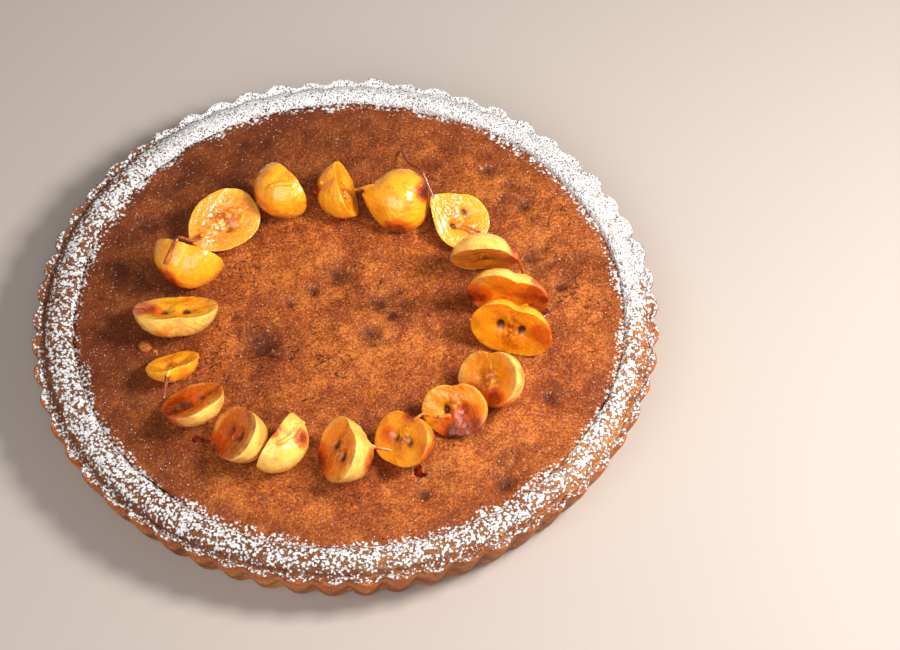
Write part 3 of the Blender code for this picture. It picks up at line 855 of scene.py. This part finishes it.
LOOKS = (
    Look(YELLOW, GOLD, TAN, stains=((-0.8, -0.3, -0.4, 0.45), (0.9, -0.2, 0.1, 0.20), (0, -0.6, -0.8, 0.35))),
    Look(YELLOW, GOLD, BROWN, stem=(190, 104, 40), torn=0.9, stains=((-0.9, 0, 0.2, 0.25),)),
    Look(YELLOW, GOLD, TAN, stem_turn=0, stem=(236, 160, 52),
         stains=((0, -0.8, -0.6, 0.35), (0.9, 0.1, 0.3, 0.25))),
    Look(YELLOW, (255, 164, 30), TAN, stem_turn=125, stem=(160, 66, 20),
         core_size=1.2, ribs=0.6, rim=0.05, torn=1.0),
    Look(CREAM, ORANGE, DEEP, stem_turn=20, stem=(196, 104, 30),
         stains=((-0.2, -0.9, -0.4, 0.40), (1.0, 0, 0, 0.35))),
    Look(CREAM, ORANGE, AMBER, stem_turn=70, pits=0.3, stains=((-1.1, -0.1, -0.1, 0.40), (1.1, 0, 0, 0.50))),
    Look(YELLOW, ORANGE, BROWN, stem_turn=80, pits=0.9, ribs=0.3, torn=0.8,
         stains=((1.1, -0.1, -0.1, 0.45),)),
    Look(CREAM, (255, 156, 12), BROWN, stem_turn=130, pits=0.2, torn=0.8,
         stains=((0.0, -0.8, -0.2, 0.34), (-0.7, -0.4, -0.5, 0.35))),
    Look(YELLOW, ORANGE, DEEP, stem_turn=115, stem=(222, 140, 50), pits=1.0, torn=0.8,
         stains=((0.5, -0.6, -0.3, 0.58), (-0.1, -0.8, -0.3, 0.42), (0.8, 0.5, 0.6, 0.30))),
    Look(YELLOW, GOLD, BROWN, stem_turn=123, pits=0.7, torn=1.0,
         stains=((0.9, -0.5, -0.1, 0.52), (-0.8, 0.1, 0.3, 0.30), (0.2, 0.6, 0.7, 0.25))),
    Look(CREAM, (236, 130, 22), BROWN, stem_turn=110, stem=(220, 136, 52), pits=0.9, rim=0.5,
         stains=((0.8, -0.4, 0.1, 0.32), (-0.5, -0.2, 0.9, 0.35), (-0.6, 0.0, -0.7, 0.45))),
    Look(CREAM, AMBER, BROWN, stem=(128, 52, 16),
         stains=((-0.4, -0.6, 0.0, 0.24), (0.8, -0.1, 0.6, 0.30), (-0.5, 0.2, 0.9, 0.30))),
    Look(CREAM, (190, 84, 14), DEEP, stem_turn=140, pits=1.0, rim=0.6, torn=0.8,
         stains=((-0.5, 0.1, 0.8, 0.45), (-0.7, -0.3, -0.5, 0.50), (0.7, -0.6, 0.1, 0.16))),
    Look(CREAM, (206, 100, 22), DEEP, pits=0.7, rim=0.5, torn=0.7,
         stains=((-0.6, 0.1, 0.4, 0.50), (0.2, -0.9, -0.3, 0.16), (0.4, 0.4, 0.6, 0.30))),
    Look(YELLOW, (255, 166, 30), TAN, stem=(150, 62, 22), pits=0.5, rim=0.2, torn=0.6),
    Look(CREAM, (255, 174, 36), GOLD, pits=1.0, rim=0.4,
         stains=((-0.8, 0.1, 0.1, 0.30), (0.3, -0.8, 0.0, 0.14))),
    Look(YELLOW, GOLD, TAN, stem_turn=100, stains=((-0.6, -0.5, -0.3, 0.40),)),
    Look(PALE, (252, 156, 40), BROWN, stem_turn=-175, stem=(156, 68, 24), pits=0.6, core_size=1.3, ribs=0.4,
         rim=0.2, torn=1.2, stains=((0.2, 0.9, 0.0, 0.35), (-0.9, -0.2, 0, 0.25))),
)

# %% [markdown]
# A half needs small even faces before pits and torn flesh can be pressed into it. Subdivision
# alone leaves long thin faces beside the stem, and sculpting each half by hand would take days,
# so the rounded copy is rebuilt from tiny cubes by a voxel remesh and then smoothed. What presses
# the surface is worked out from distances along and across the cut face.

# %% Shape one half
CREASE_ANGLE, HALF_CREASE, HALF_LEVELS = 48, 0.55, 2
REMESH_SIZE = 0.00046
SMOOTHING, SMOOTHING_ROUNDS = 0.5, 4


def remesh_half(half):
    crease_sharp_edges(half, CREASE_ANGLE, HALF_CREASE)
    subdivide_smooth(half, HALF_LEVELS)
    half.data.remesh_voxel_size = REMESH_SIZE
    half.data.remesh_voxel_adaptivity = 0
    select_only(half)
    bpy.ops.object.voxel_remesh()
    smoother = half.modifiers.new("smoother", "SMOOTH")
    smoother.factor = SMOOTHING
    smoother.iterations = SMOOTHING_ROUNDS
    apply_modifiers(half)


# %% [markdown]
# Stems and stains can't be told by a direction alone. A stem is thin in two directions at once,
# so two lines are sent through each point's inside; the thin rim of a shallow half stops only one
# of them. A stain is a soft ball round a place on the half.

# %% Find the stems and the stains
STEM_THICKNESS = 0.0030
LONG_WAY = 0.010
JUST_INSIDE = 0.0002
MIDDLE_BEHIND_FACE = 0.4
STAIN_SPREAD = 1.35


def way_out(tree, start, direction):
    """How far a line runs from inside a half until it comes out."""
    distance = tree.ray_cast(start, direction, LONG_WAY)[3]
    return LONG_WAY if distance is None else distance


def thin_parts(half, points, normals, middle):
    """1 on the stems: the places where two lines across each other both come out soon."""
    tree = BVHTree.FromPolygons([tuple(p) for p in points], [tuple(f.vertices) for f in half.data.polygons])
    thickness = np.empty(len(points))
    for i, (point, normal) in enumerate(zip(points, normals)):
        inwards = Vector(-normal)
        thickness[i] = way_out(tree, Vector(point) + inwards * JUST_INSIDE, inwards)
        if thickness[i] < STEM_THICKNESS:
            inside = Vector(point) + inwards * thickness[i] / 2
            sideways = inwards.cross(middle - inside).normalized()
            thickness[i] = way_out(tree, inside, sideways) + way_out(tree, inside, -sideways)
    return ramp(-thickness, -STEM_THICKNESS, -0.8 * STEM_THICKNESS)


def stains_mask(points, look, face):
    middle = face.centre - MIDDLE_BEHIND_FACE * face.radius * face.normal
    away = (points - middle) / face.radius
    mask = np.zeros(len(points))
    for x, y, z, size in look.stains:
        mask = np.maximum(mask, bump(np.linalg.norm(away - np.array((x, y, z)), axis=1), STAIN_SPREAD * size))
    return mask


# %% [markdown]
# Pits, a torn core, ribs and the wrinkles of boiled skin are about a millimetre deep or less, and
# they follow the fruit's own directions, so they are pressed in by formula and not by hand.

# %% Detail one half
CORE_LENGTH, CORE_WIDTH = 0.62, 0.34
PIT_AWAY, PIT_WIDTH, PIT_DEPTH = 0.30, 0.15, 0.0012
TEAR_SIZE, TEAR_DEPTH = 0.0018, 0.0004
RIBS, RIB_HEIGHT = 34, 0.00012
WRINKLES, WRINKLE_HEIGHT = 22, 0.00005
LUMP_SIZE, LUMP_HEIGHT = 0.0070, 0.00035
SMALL_LUMP_SIZE, SMALL_LUMP_HEIGHT = 0.0025, 0.00012
FOOT_HEIGHT = 0.009


def detail_half(half, look, face):
    """Paints where each point lies, and presses the pits, core and ribs into the cut face."""
    points, normals = points_of(half), normals_of(half)
    away = points - face.centre
    along = away @ face.axis / face.radius
    across = away @ face.across / face.radius
    behind = -(away @ face.normal)
    flesh = ramp(normals @ face.normal, 0.25, 0.6) * ramp(-behind, -0.24 * face.radius, -0.17 * face.radius)
    stem = thin_parts(half, points, normals, Vector(face.centre))
    flesh *= 1 - stem
    out = np.hypot(along, across)
    core = bump(along, CORE_LENGTH * look.core_size) * bump(across, CORE_WIDTH * look.core_size)
    pits = np.zeros(len(points))
    for side in (-1, 1):
        pits = np.maximum(pits, bump(np.hypot(along / 1.5, across - side * PIT_AWAY), PIT_WIDTH))
    rim = ramp(out + 0.12 * cloud(points, 0.004), 0.80, 0.95)
    turn = np.arctan2(across, along - 1.15)
    ribs = look.ribs * np.sin(RIBS * turn) * ramp(out, 0.25, 0.5) * ramp(-out, -1.0, -0.8)
    torn = look.torn * core * cloud(points, TEAR_SIZE)
    push = -PIT_DEPTH * look.pits * pits + RIB_HEIGHT * ribs + TEAR_DEPTH * torn
    points += face.normal * (push * flesh)[:, None]
    round_axis = np.arctan2(across, behind / face.radius)
    wrinkles = np.sin(WRINKLES * round_axis + 3 * cloud(points, 0.006)) * (1 - flesh)
    lumps = LUMP_HEIGHT * cloud(points, LUMP_SIZE)
    lumps = lumps + SMALL_LUMP_HEIGHT * cloud(points, SMALL_LUMP_SIZE) + WRINKLE_HEIGHT * wrinkles
    points += normals * (lumps * (1 - stem))[:, None]
    move_points(half, points)
    lowest = points[:, 2].min()
    paint(half, "flesh", flesh)
    paint(half, "core", core)
    paint(half, "torn", 0.5 + 0.5 * torn)
    paint(half, "pits", pits * look.pits)
    paint(half, "rim", rim * look.rim)
    # Painted highlight along the border of the cut face.
    paint(half, "border", ramp(out, 0.78, 0.95))
    paint(half, "ribs", 0.5 + 0.5 * (ribs + 0.6 * wrinkles))
    paint(half, "stem", stem)
    paint(half, "stains", stains_mask(points, look, face))
    # Deeper orange near the foot, partly caramel pooled low and partly painted shade.
    paint(half, "foot", ramp(-(points[:, 2] - lowest), -FOOT_HEIGHT, -0.001) * (1 - flesh))


# %% [markdown]
# Skin, flesh, core, pits, stem and burnt caramel are masks that lie over each other, so one group
# holds the whole order and each half gives it its own colours. It also holds a painted highlight
# along the border of the cut face and, near the foot, pooled caramel mixed with painted shade.
# Light enters candied fruit and comes out again nearby, which the shader's subsurface part does,
# and the coat is the syrup.

# %% Fruit colours
DEEP_ORANGE = srgb(240, 108, 6)
BURNT_FLESH = srgb(204, 74, 4)
PIT_COLOUR = srgb(66, 20, 6)
AMBER_CARAMEL = srgb(206, 70, 4)
BURNT_CARAMEL = srgb(128, 30, 4)
DARK_CARAMEL = srgb(64, 14, 4)


def candied_fruit_group():
    inputs = {"Place": VECTOR, "Skin": COLOUR, "Flesh": COLOUR, "Core": COLOUR, "Stem": COLOUR}
    outputs = {"Color": COLOUR, "Roughness": NUMBER, "Wet": NUMBER, "Height": NUMBER}
    tree, recipe, given, out = start_group("candied_fruit_colour", inputs, outputs)
    place = given["Place"]
    blotch = recipe.speckle(place, 0.0075, detail=3.0, rough=0.55)
    fine = recipe.speckle(place, 0.0013, detail=3.0, rough=0.6, shift=4.0)
    skin = recipe.blend(recipe.step(blotch, 0.48, 0.70, 0.0, 0.60), given["Skin"], DEEP_ORANGE)
    lines = recipe.step(recipe.attribute("ribs"), 0.60, 0.95)
    skin = recipe.blend(recipe.times(lines, 0.22), skin, DEEP_ORANGE)
    # Near the foot: pooled caramel and painted shade.
    skin = recipe.blend(recipe.times(recipe.attribute("foot"), 0.4), skin, DEEP_ORANGE)
    flesh = recipe.blend(recipe.step(blotch, 0.50, 0.76, 0.0, 0.5), given["Flesh"], BURNT_FLESH)
    flesh = recipe.blend(recipe.times(recipe.step(fine, 0.5, 0.7), 0.25), flesh, given["Skin"])
    flesh = recipe.blend(recipe.times(lines, 0.4), flesh, given["Skin"])
    torn = recipe.attribute("torn")
    core = recipe.times(recipe.attribute("core"), recipe.step(recipe.sum(fine, torn), 1.12, 0.90, 0.15, 0.8))
    flesh = recipe.blend(core, flesh, given["Core"])
    flesh = recipe.blend(recipe.step(torn, 0.58, 0.72, 0.0, 0.6), flesh, given["Skin"])
    flesh = recipe.blend(recipe.step(recipe.attribute("pits"), 0.30, 0.75, 0.0, 0.95), flesh, PIT_COLOUR)
    # Painted highlight: the border of the cut face turns towards the skin's paler colour.
    flesh = recipe.blend(recipe.times(recipe.attribute("border"), 0.55), flesh, given["Skin"])
    burnt_rim = recipe.times(recipe.attribute("rim"), recipe.step(blotch, 0.40, 0.55))
    flesh = recipe.blend(burnt_rim, flesh, BURNT_CARAMEL)
    colour = recipe.blend(recipe.attribute("flesh"), skin, flesh)
    stem_colour = recipe.blend(recipe.step(fine, 0.4, 0.7), given["Stem"], DARK_CARAMEL)
    colour = recipe.blend(recipe.attribute("stem"), colour, stem_colour)
    ragged = recipe.times(recipe.attribute("stains"), recipe.sum(-0.1, recipe.times(blotch, 2.5)))
    stained = recipe.step(ragged, 0.16, 0.46, 0.0, 0.8)
    colour = recipe.blend(stained, colour, AMBER_CARAMEL)
    colour = recipe.blend(recipe.step(ragged, 0.46, 0.78, 0.0, 0.85), colour, BURNT_CARAMEL)
    colour = recipe.blend(recipe.step(ragged, 0.80, 1.10, 0.0, 0.8), colour, DARK_CARAMEL)
    roughness = recipe.step(fine, 0.3, 0.7, 0.14, 0.30)
    wet = recipe.step(recipe.sum(blotch, stained), 0.35, 0.65, 0.55, 1.0)
    wet = recipe.times(wet, recipe.step(recipe.attribute("pits"), 0.2, 0.7, 1.0, 0.2))
    height = recipe.sum(fine, recipe.times(blotch, 1.5))
    recipe.fill_all(out, Color=colour, Roughness=roughness, Wet=wet, Height=height)
    return tree


CANDIED_FRUIT = candied_fruit_group()
print("candied fruit:", len(CANDIED_FRUIT.nodes), "nodes")

# %% Colour one half
def fruit_material(name, look):
    syrup = {"Coat_Roughness": 0.07, "Coat_IOR": 1.45}
    inner_light = {"Subsurface_Weight": 0.45, "Subsurface_Scale": 0.0035}
    inner_light["Subsurface_Radius"] = (1.0, 0.38, 0.08)
    material, recipe, shader = start_material(name, **syrup, **inner_light)
    colours = {"Skin": look.skin, "Flesh": look.flesh, "Core": look.core, "Stem": look.stem}
    colours = {socket: srgb(*colour) for socket, colour in colours.items()}
    fruit = recipe.group(CANDIED_FRUIT, Place=recipe.place(), **colours)
    recipe.fill_all(shader, Base_Color=fruit["Color"], Roughness=fruit["Roughness"], Coat_Weight=fruit["Wet"])
    recipe.fill_all(shader, Normal=recipe.relief(fruit["Height"], 0.0005, 0.8))
    return material


# %% [markdown]
# Each half goes through the same steps: a merged copy, the cut face read off it, the remesh, the
# details, and its own material.

# %% Make all the halves
for number, look in enumerate(LOOKS, start=1):
    node = f"fruit_{number:02d}"
    half = merged_copy(node, f"candied_half_{number:02d}")
    face = find_cut_face(half, look.stem_turn)
    remesh_half(half)
    detail_half(half, look, face)
    finish_piece(half, "candied_fruit", fruit_material(f"candied_{number:02d}", look), node)
    rise = math.degrees(math.asin(face.normal[2]))
    print("   cut face radius", round(face.radius, 4), "rises", round(rise, 1))

# %% [markdown]
# ## Loose bits
#
# Grains of icing sugar fall past the rim onto the filling, caramel runs off some halves and sets
# in small pools beside them, and crumbs of pastry lie between two halves. Each kind is one
# piece. They could be scattered by a particle system, but with so few of them it is plainer to
# look straight down on the filling, read its height and set each one there.

# %% Lumps, joined and set down
LUMP_DETAIL = 3
filling_tree = BVHTree.FromObject(filling, bpy.context.evaluated_depsgraph_get())


def filling_height(x, y):
    return filling_tree.ray_cast(Vector((x, y, 1)), Vector((0, 0, -1)))[0].z


def lump(place, sizes, shift):
    """A rough rounded lump that sits on the filling at a place."""
    bpy.ops.object.select_all(action="DESELECT")
    bpy.ops.mesh.primitive_ico_sphere_add(subdivisions=LUMP_DETAIL, radius=1.0, location=(0, 0, 0))
    obj = bpy.context.object
    points = points_of(obj)
    points *= (1 + 0.45 * cloud(points + shift, 0.9) + 0.12 * cloud(points + shift, 0.35))[:, None]
    points *= sizes
    points += (*place, filling_height(*place))
    move_points(obj, points)
    return obj


def join_lumps(lumps, name):
    bpy.ops.object.select_all(action="DESELECT")
    for obj in lumps:
        obj.select_set(True)
    bpy.context.view_layer.objects.active = lumps[0]
    bpy.ops.object.join()
    lumps[0].name = name
    lumps[0].data.name = name
    return lumps[0]


# %% [markdown]
# Syrup that runs off a half sets beside its foot, dark and glossy. A pool is a flat lump that
# reaches under the half, so it never shows a straight edge. A row names the half, says how far
# right and back of its middle the pool lies, as shares of half its box, and gives the size.

# %% Pools of caramel
POOLS = (
    ("fruit_06", 0.75, -0.30, 0.0042),
    ("fruit_10", 0.40, -0.58, 0.0044),
    ("fruit_14", 0.15, -0.90, 0.0022),
)


def caramel_material():
    material, recipe, shader = start_material("set_caramel", Coat_Weight=1.0, Coat_Roughness=0.05, IOR=1.48)
    place = recipe.place()
    cloudy = recipe.speckle(place, 0.0020, detail=2.0)
    colour = recipe.blend(recipe.step(cloudy, 0.42, 0.70), DARK_CARAMEL, BURNT_CARAMEL)
    roughness = recipe.step(cloudy, 0.3, 0.7, 0.12, 0.30)
    relief = recipe.relief(cloudy, 0.0003, 0.5)
    recipe.fill_all(shader, Base_Color=colour, Roughness=roughness, Normal=relief)
    return material


def make_pools():
    pools = []
    for number, (node, right, back, size) in enumerate(POOLS):
        low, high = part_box(node)
        middle, half_size = (low + high) / 2, (high - low) / 2
        place = (middle.x + right * half_size.x, middle.y + back * half_size.y)
        pools.append(lump(place, (size, 0.8 * size, 0.0004), 3.7 * number))
    return join_lumps(pools, "caramel_pools")


finish_piece(make_pools(), "candied_fruit", caramel_material())

# %% [markdown]
# A crumb broke off the rim and lies between two halves, with two specks of it. It is the same
# pastry, so it takes the same crumb group with a finer grain.

# %% Crumbs of pastry
CRUMBS = (
    (-0.0815, -0.0150, 0.0031),
    (-0.0774, -0.0176, 0.0010),
    (-0.0842, -0.0186, 0.0007),
)


def crumb_material():
    material, recipe, shader = start_material("pastry_crumb", Specular_IOR_Level=0.3)
    crumb = recipe.group(BAKED_CRUMB, Place=recipe.place(), Grain=0.0006, **PASTRY_COLOURS)
    roughness = recipe.step(crumb["Height"], 0.3, 0.7, 0.6, 0.9)
    relief = recipe.relief(crumb["Height"], 0.0004, 0.8)
    recipe.fill_all(shader, Base_Color=crumb["Color"], Roughness=roughness, Normal=relief)
    return material


crumbs = [lump((x, y), (size, 0.8 * size, 0.7 * size), 5.3 * i) for i, (x, y, size) in enumerate(CRUMBS)]
finish_piece(join_lumps(crumbs, "pastry_crumbs"), "pastry", crumb_material())

# %% [markdown]
# Coarse grains lie singly on the filling, most of them near the rim. The group draws the dust
# between them, and these few hundred catch the light. Each is an icosahedron of twenty faces with
# its own three sizes, made once and copied, because a finer one would not show.

# %% Grains of icing sugar
GRAINS = 420
GRAINS_NEAR_RIM = 330
GRAIN_SIZES = (0.00010, 0.00030)


def grain_places(dice):
    """Most grains fall near the rim, and the rest anywhere on the filling."""
    turns = dice.uniform(-math.pi, math.pi, GRAINS)
    reach = edge - 0.001 - np.abs(dice.normal(0, 0.007, GRAINS))
    reach[GRAINS_NEAR_RIM:] = edge * np.sqrt(dice.uniform(0, 0.95, GRAINS - GRAINS_NEAR_RIM))
    return FILLING_CENTRE[0] + reach * np.cos(turns), FILLING_CENTRE[1] + reach * np.sin(turns)


def make_grains():
    bpy.ops.object.select_all(action="DESELECT")
    bpy.ops.mesh.primitive_ico_sphere_add(subdivisions=1, radius=1.0, location=(0, 0, 0))
    grain = bpy.context.object
    shape = points_of(grain)
    sides = [list(polygon.vertices) for polygon in grain.data.polygons]
    bpy.ops.object.delete()
    dice = np.random.default_rng(11)
    points, faces = [], []
    for x, y in zip(*grain_places(dice)):
        sizes = dice.uniform(*GRAIN_SIZES, 3)
        place = np.array((x, y, filling_height(x, y) + 0.3 * sizes[2]))
        faces += [[corner + len(points) for corner in side] for side in sides]
        points += list(shape * sizes + place)
    mesh = bpy.data.meshes.new("sugar_grains")
    mesh.from_pydata(points, [], faces)
    grains = bpy.data.objects.new("sugar_grains", mesh)
    bpy.context.scene.collection.objects.link(grains)
    return grains


def sugar_material():
    inner_light = {"Subsurface_Weight": 0.2, "Subsurface_Scale": 0.0005}
    material, recipe, shader = start_material("sugar_grain", Coat_Weight=0.3, **inner_light)
    mixed = recipe.speckle(recipe.place(), 0.0030)
    colour = recipe.blend(recipe.step(mixed, 0.4, 0.6), SUGAR_SHADE, SUGAR_WHITE)
    recipe.fill_all(shader, Base_Color=colour, Roughness=recipe.step(mixed, 0.3, 0.7, 0.35, 0.6))
    return material


finish_piece(make_grains(), "pastry", sugar_material())
